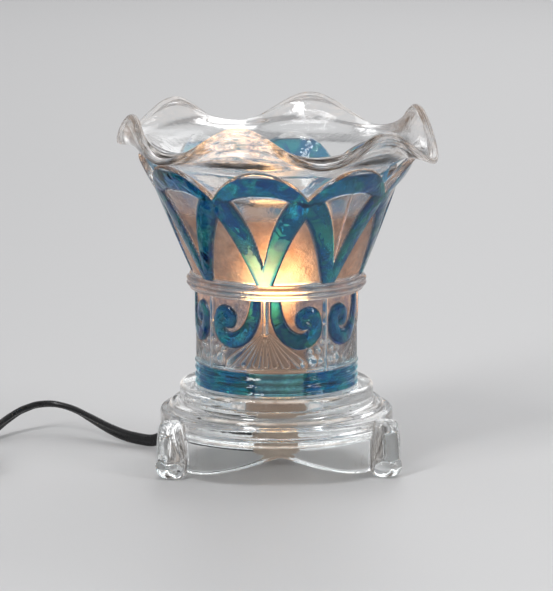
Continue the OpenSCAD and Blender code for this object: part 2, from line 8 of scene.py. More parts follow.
import bpy
import numpy as np
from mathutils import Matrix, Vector


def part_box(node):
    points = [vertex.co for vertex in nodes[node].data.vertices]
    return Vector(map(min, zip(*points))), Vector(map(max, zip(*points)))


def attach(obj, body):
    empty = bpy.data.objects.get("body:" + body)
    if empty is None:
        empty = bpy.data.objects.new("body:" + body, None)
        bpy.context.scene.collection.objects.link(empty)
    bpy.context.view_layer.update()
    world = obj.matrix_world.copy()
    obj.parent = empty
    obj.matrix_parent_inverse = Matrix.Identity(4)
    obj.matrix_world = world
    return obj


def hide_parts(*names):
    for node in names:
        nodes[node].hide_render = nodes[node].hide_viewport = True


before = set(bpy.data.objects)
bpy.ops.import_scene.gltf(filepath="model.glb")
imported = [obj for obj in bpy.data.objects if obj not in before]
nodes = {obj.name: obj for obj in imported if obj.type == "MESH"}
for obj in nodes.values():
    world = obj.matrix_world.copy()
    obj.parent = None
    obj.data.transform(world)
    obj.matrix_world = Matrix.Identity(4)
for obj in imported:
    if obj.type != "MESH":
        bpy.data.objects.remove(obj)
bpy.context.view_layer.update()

MM = 0.001
SHARP_ANGLE = 40
scene = bpy.context.scene


# Small helpers

def node_box(name):
    """Lowest and highest corner of a CAD node, in millimetres."""
    low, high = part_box(name)
    return np.array(low) / MM, np.array(high) / MM


def dome(x):
    """1 at the middle, 0 from x = 1 outwards."""
    return np.maximum(0.0, 1.0 - x * x)


def ease(x):
    """Smooth step from 0 to 1."""
    c = np.clip(x, 0.0, 1.0)
    return c * c * (3.0 - 2.0 * c)


def mix(a, b, f):
    return a + (b - a) * f


def spline(points, steps):
    """Catmull-Rom points through a list of points, each span cut into that many steps."""
    points = np.asarray(points, float)
    p = np.vstack([2 * points[0] - points[1], points, 2 * points[-1] - points[-2]])
    t = (np.arange(steps) / steps)[:, None]
    spans = []
    for a, b, c, d in zip(p, p[1:], p[2:], p[3:]):
        square, cube = 2 * a - 5 * b + 4 * c - d, 3 * b - a - 3 * c + d
        spans.append(0.5 * (2 * b + (c - a) * t + square * t ** 2 + cube * t ** 3))
    return np.vstack(spans + [points[-1:]])


def from_nearest(a, step):
    """Angle from the nearest multiple of a step, in degrees."""
    return a - step * np.round(a / step)


def from_place(a, place):
    """Angle from a direction, between -180 and 180 degrees."""
    return (a - place + 180) % 360 - 180


def from_any(a, places):
    """Angle from the nearest of some directions, without its sign."""
    return np.min([np.abs(from_place(a, place)) for place in places], axis=0)


def turned(points, degrees):
    """Points turned about the vertical axis."""
    c, s = math.cos(math.radians(degrees)), math.sin(math.radians(degrees))
    return points @ np.array([[c, s, 0], [-s, c, 0], [0, 0, 1]])


def around(r, angle, z):
    """Points at radii, angles in radians and heights."""
    return np.stack([r * np.cos(angle), r * np.sin(angle), z], axis=-1)


def grid_faces(rows, cols, joined=False):
    """Quads of a grid whose columns close round; joined also closes the last row to the first."""
    i = np.arange(rows if joined else rows - 1)[:, None] * cols
    j = np.arange(cols)[None, :]
    nxt, up = (j + 1) % cols, (i + cols) % (rows * cols)
    return np.stack([i + j, i + nxt, up + nxt, up + j], axis=-1).reshape(-1, 4).tolist()


def lathe(profile, cols):
    """Points and faces of a profile of radius and height turned about Z. A radius of 0 becomes a pole."""
    profile = np.asarray(profile, float)
    start, end = profile[0, 0] == 0, profile[-1, 0] == 0
    rings = profile[int(start):len(profile) - int(end)]
    angle = np.linspace(0, 2 * math.pi, cols, endpoint=False)
    points = around(rings[:, :1], angle, np.repeat(rings[:, 1:2], cols, axis=1)).reshape(-1, 3)
    faces = grid_faces(len(rings), cols)
    for pole, row, height in ((start, 0, profile[0, 1]), (end, len(rings) - 1, profile[-1, 1])):
        if pole:
            centre, first = len(points), row * cols
            points = np.vstack([points, [0, 0, height]])
            fan = [[centre, first + (k + 1) % cols, first + k] for k in range(cols)]
            faces += fan if row == 0 else [face[::-1] for face in fan]
    return points, faces


def make_piece(mesh, material):
    """An object under the mesh's name, in the scene."""
    mesh.materials.append(material)
    mesh.shade_smooth()
    piece = bpy.data.objects.new(mesh.name, mesh)
    scene.collection.objects.link(piece)
    return piece


def make_mesh(name, points, faces, material):
    """A piece from points in millimetres."""
    mesh = bpy.data.meshes.new(name)
    mesh.from_pydata((np.asarray(points) * MM).tolist(), [], faces)
    return make_piece(mesh, material)


def dress(piece, body, slot, *replaced):
    """Ties a piece to the CAD body that carries it and hides the solids it stands for; the slot is not used.
    """
    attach(piece, body)
    if replaced:
        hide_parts(*replaced)


def set_attribute(piece, name, values):
    """Keeps a value for each vertex, which a material reads as a mask."""
    attribute = piece.data.attributes.new(name, "FLOAT", "POINT")
    attribute.data.foreach_set("value", np.asarray(values, np.float32))


# Materials

class Finish:
    """A Principled material under construction, with the node chains that its surfaces need."""

    def __init__(self, name, **sockets):
        self.material = bpy.data.materials.new(name)
        self.material.use_nodes = True
        self.tree = self.material.node_tree
        self.surface = self.tree.nodes["Principled BSDF"]
        for socket, value in sockets.items():
            self.surface.inputs[socket.replace("_", " ")].default_value = value

    def node(self, kind, **sockets):
        node = self.tree.nodes.new(kind)
        for socket, value in sockets.items():
            self.feed(node, socket.replace("_", " "), value)
        return node

    def feed(self, node, socket, value):
        if isinstance(value, bpy.types.NodeSocket):
            self.tree.links.new(value, node.inputs[socket])
        else:
            node.inputs[socket].default_value = value

    def set(self, socket, value):
        self.feed(self.surface, socket, value)

    def noise(self, scale, detail=3.0, roughness=0.5, distortion=0.0, stretch=(1, 1, 1)):
        """Noise of that many cells a metre, in the object's own frame."""
        place = self.node("ShaderNodeTexCoord").outputs["Object"]
        mapping = self.node("ShaderNodeMapping", Vector=place, Scale=stretch)
        return self.node("ShaderNodeTexNoise", Vector=mapping.outputs["Vector"], Scale=scale, Detail=detail,
                         Roughness=roughness, Distortion=distortion).outputs["Fac"]

    def attribute(self, name):
        node = self.node("ShaderNodeAttribute")
        node.attribute_name = name
        return node.outputs["Fac"]

    def span(self, value, low, high, start=0.3, end=0.7):
        """Carries a value from start to end over to low to high."""
        node = self.node("ShaderNodeMapRange", Value=value)
        for socket, number in (("From Min", start), ("From Max", end), ("To Min", low), ("To Max", high)):
            node.inputs[socket].default_value = number
        return node.outputs["Result"]

    def math(self, operation, *values):
        node = self.node("ShaderNodeMath")
        node.operation = operation
        for slot, value in enumerate(values):
            self.feed(node, slot, value)
        return node.outputs["Value"]

    def blend(self, factor, a, b):
        """Mixes two colours."""
        node = self.node("ShaderNodeMix")
        node.data_type = "RGBA"
        self.feed(node, "Factor", factor)
        self.feed(node, 6, a)
        self.feed(node, 7, b)
        return node.outputs[2]

    def bump(self, height, distance, strength=1.0, below=None):
        node = self.node("ShaderNodeBump", Height=height, Distance=distance, Strength=strength)
        if below is not None:
            self.feed(node, "Normal", below)
        return node.outputs["Normal"]


def colour(red, green, blue):
    return (red, green, blue, 1.0)


def clear_glass():
    """Base glass: clear and a little wavy, with a painted glow of the bulb's light where the edge mask says
    so.
    """
    f = Finish("clear_glass", Transmission_Weight=1.0, IOR=1.5)
    flow = f.noise(42, detail=2, distortion=0.6)
    fine = f.noise(900, detail=2)
    f.set("Base Color", f.blend(f.span(flow, 0, 1), colour(0.93, 0.965, 0.97), colour(0.985, 0.995, 0.995)))
    f.set("Roughness", f.span(f.noise(160), 0.0, 0.05))
    waves = f.bump(flow, 0.0012, 0.35)
    f.set("Normal", f.bump(fine, 0.00006, 0.35, below=waves))
    # Painted glow: warm and white streaks of the bulb's light, shown as emission on the lit edges.
    streaks = f.noise(90, detail=3, distortion=1.0)
    warm, white = colour(1.0, 0.78, 0.62), colour(1.0, 0.92, 0.84)
    f.set("Emission Color", f.blend(f.span(streaks, 0, 1), warm, white))
    f.set("Emission Strength", f.math("MULTIPLY", f.attribute("edge"), f.span(streaks, 0.1, 0.55)))
    return f.material


def rimmed_glass():
    """Dish glass: clear, with a fire-polished rim that fine streaks whiten where the rim mask says so.

    The glow mask paints the bulb's light caught in the waves, as emission.
    """
    f = Finish("rimmed_glass", Transmission_Weight=1.0, IOR=1.5)
    rim = f.attribute("rim")
    flow = f.noise(55, detail=3, distortion=0.9)
    f.set("Base Color", f.blend(f.span(flow, 0, 1), colour(0.95, 0.965, 0.965), colour(0.985, 0.99, 0.99)))
    f.set("Roughness", f.math("MULTIPLY_ADD", rim, 0.32, 0.01))
    streaks = f.noise(120, detail=4, distortion=2.5, stretch=(1, 1, 2.5))
    # Painted glow of the bulb's light: copper to peach streaks shown as emission.
    f.set("Emission Color", f.blend(f.span(streaks, 0, 1), colour(0.55, 0.24, 0.1), colour(1.0, 0.66, 0.4)))
    lit_streaks = f.span(streaks, 0.0, 1.0, 0.38, 0.68)
    f.set("Emission Strength", f.math("MULTIPLY", f.attribute("glow"), lit_streaks))
    waves = f.bump(flow, 0.001, 0.3)
    f.set("Normal", f.bump(f.math("MULTIPLY", f.noise(420, detail=4), rim), 0.0005, 0.5, below=waves))
    return f.material


def pressed_glass():
    """Shade glass: clear, blue by the stain mask, stippled by the frost mask, painted shade by the groove
    mask.

    The pale mask lightens the blue as painted light; the glow mask paints the bulb's scattered light.
    """
    f = Finish("pressed_glass", Transmission_Weight=1.0, IOR=1.5)
    flow = f.noise(75, detail=3, distortion=0.8)
    grain = f.noise(520, detail=5, roughness=0.65)
    frost, stain = f.attribute("frost"), f.attribute("stain")
    groove = f.attribute("groove")
    # Painted warm light: the frosted windows are tinted brown as if lit by the bulb.
    brown = f.blend(f.span(f.noise(150, detail=5, distortion=0.6), 0, 1), colour(0.19, 0.1, 0.065),
                    colour(0.4, 0.27, 0.2))
    ground = f.blend(frost, colour(0.97, 0.975, 0.97), brown)
    # Painted shade: grooves and hollows of the relief darkened towards black-brown.
    painted_groove_shade = f.blend(f.span(f.noise(210, detail=2), 0, 1), colour(0.055, 0.03, 0.03),
                    colour(0.11, 0.075, 0.1))
    ground = f.blend(groove, ground, painted_groove_shade)
    azure = f.blend(f.span(flow, 0, 1), colour(0.00005, 0.014, 0.19), colour(0.0004, 0.1, 0.28))
    pools = f.noise(85, detail=2, distortion=1.6)
    azure = f.blend(f.span(pools, 0, 1, 0.5, 0.62), azure, colour(0.0012, 0.17, 0.25))
    # Band edges darker than their crowns: partly deeper stain, partly painted shade.
    blue = f.blend(groove, azure, colour(0.00005, 0.005, 0.06))
    # Painted light: the blue is lightened to teal where the bulb shines through from behind.
    blue = f.blend(f.attribute("pale"), blue, colour(0.06, 0.2, 0.2))
    f.set("Base Color", f.blend(stain, ground, blue))
    f.set("Roughness", f.math("MULTIPLY_ADD", frost, 0.3, 0.015))
    ripple = f.math("MULTIPLY", f.noise(120, detail=1, distortion=1.2), stain)
    waves = f.bump(ripple, 0.002, 0.32, below=f.bump(flow, 0.0008, 0.25))
    f.set("Normal", f.bump(f.math("MULTIPLY", grain, frost), 0.0008, 0.6, below=waves))
    # Painted glow of the bulb's light: copper in the windows, teal in the bands, shown as emission.
    copper = f.blend(f.span(grain, 0, 1), colour(0.75, 0.2, 0.055), colour(1.0, 0.55, 0.27))
    f.set("Emission Color", f.blend(stain, copper, colour(0.16, 0.55, 0.62)))
    mottle = f.span(f.noise(130, detail=4, distortion=0.5), 0.35, 1.3)
    patches = f.math("MULTIPLY", f.span(grain, 0.3, 1.5), mottle)
    f.set("Emission Strength", f.math("MULTIPLY", f.attribute("glow"), patches))
    return f.material


def opal_glass(low, high):
    """Bulb glass, brightest round the filament between two heights in metres."""
    f = Finish("opal_glass", Transmission_Weight=0.35, Roughness=0.4, IOR=1.45)
    place = f.node("ShaderNodeTexCoord").outputs["Object"]
    height = f.node("ShaderNodeSeparateXYZ", Vector=place).outputs["Z"]
    middle, half = (low + high) / 2, (high - low) / 2
    glow = f.span(f.math("ABSOLUTE", f.math("SUBTRACT", height, middle)), 1.0, 0.0, 0.0, half)
    cloud = f.noise(120, detail=2)
    f.set("Base Color", f.blend(f.span(cloud, 0, 1), colour(0.95, 0.9, 0.8), colour(1.0, 0.97, 0.9)))
    f.set("Emission Color", f.blend(glow, colour(1.0, 0.36, 0.09), colour(1.0, 0.72, 0.4)))
    clouded = f.math("MULTIPLY", glow, f.span(cloud, 0.85, 1.0))
    f.set("Emission Strength", f.span(clouded, 0.4, 2.8, 0.0, 1.0))
    return f.material


def hot_wire():
    f = Finish("hot_wire", Metallic=1.0, Roughness=0.4, Emission_Strength=6.0)
    f.set("Base Color", f.blend(f.noise(3000), colour(0.4, 0.38, 0.36), colour(0.6, 0.58, 0.55)))
    f.set("Emission Color", f.blend(f.noise(900), colour(1.0, 0.62, 0.25), colour(1.0, 0.8, 0.5)))
    return f.material


def moulded(name, base, dark, grain, roughness):
    """Moulded plastic or rubber: a fine grain, faint flow marks and a little handling wear."""
    f = Finish(name)
    flow = f.noise(60, detail=4)
    fine = f.noise(grain, detail=2)
    f.set("Base Color", f.blend(f.span(flow, 0, 1), colour(*dark), colour(*base)))
    f.set("Roughness", f.span(f.noise(220, detail=5), roughness - 0.08, roughness + 0.1))
    f.set("Normal", f.bump(fine, 0.00008, 0.4))
    return f.material


def lit_plastic(low, high):
    """Translucent holder plastic with a painted glow of the bulb's light, less and less from high to low."""
    f = Finish("cream_plastic")
    flow = f.noise(60, detail=4)
    place = f.node("ShaderNodeTexCoord").outputs["Object"]
    height = f.node("ShaderNodeSeparateXYZ", Vector=place).outputs["Z"]
    f.set("Base Color", f.blend(f.span(flow, 0, 1), colour(0.46, 0.37, 0.29), colour(0.6, 0.49, 0.39)))
    f.set("Roughness", f.span(f.noise(220, detail=5), 0.3, 0.48))
    f.set("Normal", f.bump(f.noise(2500, detail=2), 0.00008, 0.4))
    f.set("Emission Color", f.blend(f.span(flow, 0, 1), colour(0.9, 0.4, 0.2), colour(1.0, 0.58, 0.34)))
    # Painted glow of the bulb's light, stronger towards the top.
    f.set("Emission Strength", f.math("POWER", f.span(height, 0.1, 0.55, low, high), 2.0))
    return f.material


def metal(name, base, dark, roughness, stretch):
    """Drawn or turned metal: fine lines along one way and patches of tarnish."""
    f = Finish(name, Metallic=1.0)
    lines = f.noise(1500, detail=2, stretch=stretch)
    f.set("Base Color", f.blend(f.span(f.noise(140, detail=5), 0, 1), colour(*dark), colour(*base)))
    f.set("Roughness", f.span(lines, roughness - 0.08, roughness + 0.12))
    f.set("Normal", f.bump(lines, 0.00005, 0.3))
    return f.material


def circuit_board():
    f = Finish("circuit_board", Roughness=0.35)
    f.set("Base Color", f.blend(f.span(f.noise(500, stretch=(1, 0.1, 1)), 0, 1), colour(0.02, 0.12, 0.05),
                                colour(0.05, 0.24, 0.1)))
    f.set("Normal", f.bump(f.noise(900), 0.0001, 0.3))
    return f.material


GLASS = clear_glass()
RIMMED = rimmed_glass()
PRESSED = pressed_glass()
CREAM = lit_plastic(node_box("holder_cap")[0][2] * MM, node_box("holder_body")[1][2] * MM)
SILICONE = moulded("silicone", (0.74, 0.72, 0.66), (0.66, 0.64, 0.58), 1800, 0.6)
CORD = moulded("black_pvc", (0.009, 0.009, 0.01), (0.005, 0.005, 0.006), 2600, 0.27)
BLACK = moulded("black_plastic", (0.022, 0.022, 0.024), (0.013, 0.013, 0.015), 1500, 0.45)
WHEEL = moulded("wheel_plastic", (0.07, 0.07, 0.073), (0.045, 0.045, 0.05), 1500, 0.4)
BRASS = metal("brass", (0.78, 0.56, 0.24), (0.6, 0.4, 0.15), 0.26, (1, 1, 12))
STEEL = metal("steel", (0.66, 0.66, 0.68), (0.5, 0.5, 0.52), 0.3, (1, 1, 12))
BOARD = circuit_board()


# Camera at the photograph's view

IMAGE_H = 591
FOCAL_PX = 3333
SENSOR = 36.0
VIEW_DISTANCE = 1.5
VIEW_ELEVATION = 10.5
VIEW_AZIMUTH = -2.0
VIEW_TARGET = Vector((0.0, 0.0, 0.077))


def make_camera():
    across, up = math.radians(VIEW_AZIMUTH), math.radians(VIEW_ELEVATION)
    back = Vector((math.sin(across) * math.cos(up), -math.cos(across) * math.cos(up), math.sin(up)))
    data = bpy.data.cameras.new("camera")
    data.sensor_width = SENSOR
    data.lens = FOCAL_PX * SENSOR / IMAGE_H
    data.clip_start = 0.05
    camera = bpy.data.objects.new("camera", data)
    camera.location = VIEW_TARGET + VIEW_DISTANCE * back
    camera.rotation_euler = (-back).to_track_quat("-Z", "Y").to_euler()
    scene.collection.objects.link(camera)
    scene.camera = camera


make_camera()


# Cord: a twin flex of two round cores, laid along the routes of the CAD solids

CORD_W = 5.6
CORD_T = 2.8
ON_EDGE = 90
LEAD_ROUTE = [
    (-34.641, 20, 9.8, 90), (-40, 23.1, 9.4, 90), (-45.5, 26, 7.9, 90), (-51, 28.7, 5.6, 90),
    (-56.3, 31.3, 3.4, 90), (-62.3, 34.8, 3.4, 88), (-69.3, 40.2, 4, 84), (-76.4, 47.5, 5.5, 74),
    (-83.6, 55.8, 7.7, 56), (-90.7, 63, 10.2, 36), (-94.4, 66, 11.2, 28), (-98, 68.2, 11.9, 22),
    (-101.5, 69.7, 12.4, 20), (-105, 70.3, 12.6, 20), (-108.6, 70, 12.5, 22), (-112.1, 68.8, 12.2, 26),
    (-115.6, 67, 11.3, 32), (-119.1, 64.4, 10.3, 40), (-124.5, 59.2, 7.7, 54), (-129, 53, 5.4, 68),
    (-135, 43.5, 3.6, 82), (-140, 35.5, 3.8, 90), (-144.6, 27.5, 5.6, 90), (-147.2, 21, 7.4, 90),
    (-148, 14, 8, 90)]
MID_ROUTE = [
    (-148, -44, 8, 90), (-148, -51, 7, 90), (-148, -58, 5.6, 90), (-149.8, -67.2, 4.6, 90),
    (-155, -75, 4, 90), (-162.8, -80.2, 3.8, 90), (-172, -82, 3.7, 90), (-181.2, -80.2, 3.7, 90),
    (-189, -75, 3.7, 90), (-194.2, -67.2, 3.7, 90), (-196, -58, 3.7, 90), (-196, -50, 3.7, 90),
    (-196, -42, 3.7, 90)]
END_ROUTE = [
    (-196, -30, 9.8, 90), (-196, -20, 9.7, 90), (-196, -10, 9.5, 90), (-196, 0, 9.3, 90), (-196, 8, 9.2, 90)]
COIL_AT = (-230, -36)
COIL_OUT_R = 34
COIL_TURNS = 6
COIL_CLEAR = 0.6
COIL_PITCH = CORD_T + COIL_CLEAR
COIL_LIFT = 0.9
COIL_LOW = COIL_LIFT + CORD_W / 2
LAYER_CLEAR = 0.5
COIL_RISE = CORD_W + LAYER_CLEAR
COIL_STEP = 15
CORE_ARC = 140
CORE_SIDES = 11


def coil_route():
    """In along the table, up a layer at the middle turn and out again above."""
    middle = COIL_TURNS * 180
    a = np.arange(0, 2 * middle + 1, COIL_STEP)
    r = COIL_OUT_R - COIL_PITCH * (middle - np.abs(a - middle)) / 360
    z = COIL_LOW + COIL_RISE * ease((a - middle + 90) / 180)
    angle = np.radians(a)
    x, y = COIL_AT[0] + r * np.cos(angle), COIL_AT[1] + r * np.sin(angle)
    return np.stack([x, y, z, np.full(len(a), ON_EDGE)], axis=1)


def twin_section():
    """Outline of the flex: two cores with a shallow groove between them."""
    core = (CORD_W - CORD_T) / 2
    arc = np.radians(np.linspace(-CORE_ARC, CORE_ARC, CORE_SIDES))
    right = np.stack([core + CORD_T / 2 * np.cos(arc), CORD_T / 2 * np.sin(arc)], axis=1)
    return np.vstack([right, -right])


def flat_cord(name, route, steps):
    """A mesh tube along a route of x, y, z and roll, and the path that it follows in metres."""
    line = spline(route, steps)
    path, roll = line[:, :3], np.radians(line[:, 3:])
    along = np.gradient(path, axis=0)
    along /= np.linalg.norm(along, axis=1, keepdims=True)
    across = np.stack([-along[:, 1], along[:, 0], np.zeros(len(along))], axis=1)
    across /= np.linalg.norm(across, axis=1, keepdims=True)
    above = np.cross(along, across)
    wide = across * np.cos(roll) + above * np.sin(roll)
    thin = above * np.cos(roll) - across * np.sin(roll)
    section = twin_section()
    points = path[:, None] + section[None, :, :1] * wide[:, None] + section[None, :, 1:] * thin[:, None]
    rows, cols = len(path), len(section)
    faces = [face[::-1] for face in grid_faces(rows, cols)]
    faces += [list(range(cols)), [(rows - 1) * cols + k for k in reversed(range(cols))]]
    return make_mesh(name, points.reshape(-1, 3), faces, CORD), path * MM


TIE_W = 5
TIE_T = 0.7
TIE_CLEAR = 0.15
TIE_ROUND = 1.2
CORNER_STEPS = 7


def round_box(half_x, half_z, radius):
    """Outline of a rectangle with round corners."""
    corners = []
    for start, (x, z) in zip((0, 90, 180, 270), ((1, 1), (-1, 1), (-1, -1), (1, -1))):
        arc = np.radians(np.linspace(start, start + 90, CORNER_STEPS))
        centre = np.array([x * (half_x - radius), z * (half_z - radius)])
        corners.append(centre + radius * np.stack([np.cos(arc), np.sin(arc)], axis=1))
    return np.vstack(corners)


def make_tie():
    """A strap pulled snug round the turns, on the far side of the coil from the cord's ends."""
    inside = COIL_OUT_R - COIL_PITCH * (COIL_TURNS - 1) / 2 - CORD_T / 2
    outside = COIL_OUT_R - COIL_PITCH / 2 + CORD_T / 2
    low, high = COIL_LOW - CORD_W / 2, COIL_LOW + COIL_RISE + CORD_W / 2
    half_x, half_z = (outside - inside) / 2 + TIE_CLEAR, (high - low) / 2 + TIE_CLEAR
    inner = round_box(half_x, half_z, TIE_ROUND)
    outer = round_box(half_x + TIE_T, half_z + TIE_T, TIE_ROUND + TIE_T)
    edges = [(inner, -TIE_W / 2), (outer, -TIE_W / 2), (outer, TIE_W / 2), (inner, TIE_W / 2)]
    points = np.stack([np.insert(line, 1, y, axis=1) for line, y in edges], axis=1)
    points += (COIL_AT[0] - (inside + outside) / 2, COIL_AT[1], (low + high) / 2)
    faces = grid_faces(len(inner), len(edges), joined=True)
    tie = make_mesh("cord_strap", points.reshape(-1, 3), faces, BLACK)
    tie.data.set_sharp_from_angle(angle=math.radians(SHARP_ANGLE))
    return tie


lead, lead_path = flat_cord("flex_to_dimmer", LEAD_ROUTE, 5)
supply_route = np.vstack([MID_ROUTE, coil_route(), END_ROUTE])
supply, supply_path = flat_cord("flex_to_plug", supply_route, 3)
dress(lead, "base", "black_pvc", "cord_lead")
dress(supply, "base", "black_pvc", "cord_mid", "cord_coil", "cord_end")
tie = make_tie()
dress(tie, "base", "black_plastic", "cord_tie")


# Shade: two tiers of pressed pattern, angles in degrees from the middle of a lobe

SHADE_LOW, SHADE_HIGH = (corner[2] for corner in node_box("shade"))
SHADE_TURN = -100
SHADE_COLS = 576
BAND_ROWS, TIER_ROWS, RING_ROWS, FLARE_ROWS, INNER_ROWS = 31, 100, 29, 120, 15
LOBES = 8
LOBE = 360 / LOBES
REPEAT = 90
BAND_H = 10
BAND_REEDS = 3
# Centre and half width of the painted light on the bottom band, in degrees.
PAINTED_LIGHT_AT, PAINTED_LIGHT_HALF = 10, 16
TIER_H = 43
RING_LO = SHADE_LOW + TIER_H
RING_H = 7
RING_TOP = RING_LO + RING_H
RING_BULGE, RING_SINK = 3.5, 0.55
RING_RIDGES, RIDGE_H = 3, 0.28
NOTCH = 12.6
WAIST_R = 36.8
COLLAR_OUT = 2.2
COLLAR_R = WAIST_R + COLLAR_OUT
MOUTH_R = 63.8
FLARE_CURL = 0.155
WALL = 5.8
LIP_WALL = 3.6
LIP_AT, LIP_HALF = 1.2, 2.4
EDGE_R = 1.5
RELIEF = 1.6
ARCH_GAP = 7
ARCH_H = SHADE_HIGH - RING_TOP - ARCH_GAP
ARCH_POWER = 2.6
ARCH_HALF = (4.9, 2.7)
ARCH_END = 1.03
ARCH_SWELL, SWELL_AT, SWELL_HALF = 2.0, 0.66, 0.3
# Reach of the painted paler light over the fan, in degrees and millimetres.
PALE_HALF, PALE_FROM, PALE_H = 20, 2, 22
SEAM_AT, SEAM_STEP, SEAM_HALF = LOBE, 180, 0.65
BOWL_DEPTH = 20.7
BOWL_LIFT = 0.1
DISH_FLOOR = SHADE_HIGH + BOWL_LIFT - BOWL_DEPTH
# Shade masks: stain, frost, painted glow, painted shade in grooves and painted paler light.
MASKS = ("stain", "frost", "glow", "groove", "pale")


def rim_z(a):
    """Height of the scalloped rim."""
    return SHADE_HIGH - NOTCH * (from_nearest(a, LOBE) / (LOBE / 2)) ** 2


def rise_share(z):
    """0 at the foot of the flare, 1 at its top."""
    return np.clip((z - RING_TOP) / (SHADE_HIGH - RING_TOP), 0, 1)


def flare_r(z):
    """Outer radius of the flare, which curls outwards towards the mouth."""
    t = rise_share(z)
    return COLLAR_R + (MOUTH_R - COLLAR_R) * ((1 - FLARE_CURL) * t + FLARE_CURL * t ** 5)


def inner_r(z):
    """Radius of the smooth inner wall."""
    upper = flare_r(z) - mix(WALL + COLLAR_OUT, LIP_WALL, ease(rise_share(z)))
    return np.where(z >= RING_TOP, upper, WAIST_R - WALL)


def arch_band(off, z):
    """How far inside an arch's band a point lies: 1 on its middle line, 0 at its edges and beyond."""
    share = np.abs(off) / LOBE
    line = RING_TOP + ARCH_H * (1 - share ** ARCH_POWER)
    slope = ARCH_H * ARCH_POWER / LOBE * share ** (ARCH_POWER - 1) / np.radians(flare_r(z))
    half = mix(*ARCH_HALF, share ** 3) + ARCH_SWELL * dome((share - SWELL_AT) / SWELL_HALF)
    return np.where(share > ARCH_END, 0, dome((z - line) / np.sqrt(1 + slope ** 2) / half))


def crown(inside):
    """Height of a raised band over its ground: a crisp edge and a rounded top."""
    return 0.55 * ease(inside / 0.4) + 0.45 * inside


def upper_tier(a, z):
    """Relief of the flare, from 0 on the ground to 1 on its bands, then its masks in the order of MASKS."""
    off = from_nearest(a, LOBE)
    bands = np.maximum.reduce([arch_band(off + k * LOBE, z) for k in (-1, 0, 1)])
    lip = dome((rim_z(a) - z - LIP_AT) / LIP_HALF)
    height = np.maximum(crown(bands), 0.75 * np.sqrt(lip))
    over_fan = dome(from_nearest(a, REPEAT) / PALE_HALF)
    # Painted light: the middle of the band legs over the fan is paler towards the ring.
    pale = over_fan * ease((bands - 0.45) / 0.4) * (1 - ease((z - RING_TOP - PALE_FROM) / PALE_H))
    stain = ease(bands / 0.16)
    # Band edges darker than the crown: partly deeper stain, partly painted shade.
    groove = stain * (1 - bands)
    frost = (1 - ease(bands / 0.12)) * (1 - ease(lip / 0.3)) * ease((z - RING_TOP) / 1.5)
    frost = frost * mix(1.0, 0.2, ease((z - DISH_FLOOR + 4) / 6))
    seam = dome(from_nearest(a - SEAM_AT, SEAM_STEP) * np.radians(flare_r(z)) / SEAM_HALF)
    height = np.maximum(height, 0.4 * seam)
    # Painted glow of the bulb's light in the windows and along the mould seam.
    glow = frost * (mix(0.17, 0.05, rise_share(z)) + 0.4 * seam)
    return height, stain, frost * (1 - 0.8 * seam), glow, groove, pale


SCROLL = spline([(4.6, 41.5, 2.6), (5.4, 35.5, 3.2), (7.6, 30, 3.6), (11.2, 26, 3.9), (15.8, 24.2, 3.9),
                 (20.4, 25, 3.8), (23.4, 28.2, 3.7), (23.9, 32.4, 3.4), (22.8, 35.8, 3.3), (20, 36.6, 3.3),
                 (17, 34.9, 3.3), (17.2, 32, 2.7), (19.8, 31.4, 2.1)], 6)
FAN_AT = 29.3
FAN_STEP = 16
FAN_LAST = 3
FAN_SPREAD = 60
FAN_DEPTH = 17.4
FLUTE_HALF, FLUTE_TAPER, FLUTE_ROUND = 2.5, 0.118, 2.1
SPINE_HALF = 1.5
DIVIDER_HALF = 1.3
SILL_AT, SILL_HALF = 1.2, 1.1
BEADS = [(22.8, 15.4, 3.0), (17.9, 13.8, 1.9), (26.3, 15, 1.9),
         (21.4, 19.4, 1.6), (25.4, 19.6, 1.8), (27, 23, 1.4)]


def scroll_band(s, h):
    """How far inside the scroll's band a point lies, from its listed middle line with half widths."""
    inside = np.zeros_like(s)
    for x, y, half in SCROLL:
        inside = np.maximum(inside, dome(np.hypot(s - x, h - y) / half))
    return inside


def fan_flutes(s, h):
    """A palmette of flutes that widen to rounded ends."""
    reach = np.hypot(s, FAN_AT - h)
    angle = np.degrees(np.arctan2(s, FAN_AT - h))
    petal = np.minimum(FAN_LAST, np.round(angle / FAN_STEP))
    side = np.radians(angle - FAN_STEP * petal) * reach
    half = np.minimum(FLUTE_HALF, FLUTE_TAPER * reach + 0.05)
    length = FAN_DEPTH / np.cos(np.radians(FAN_STEP * petal))
    end = np.maximum(0, reach - length + FLUTE_ROUND) / FLUTE_ROUND
    inside = np.where(np.abs(angle) > FAN_SPREAD, 0, dome(np.hypot(side / half, end)))
    return inside * ease((reach - 1.0) / 2)


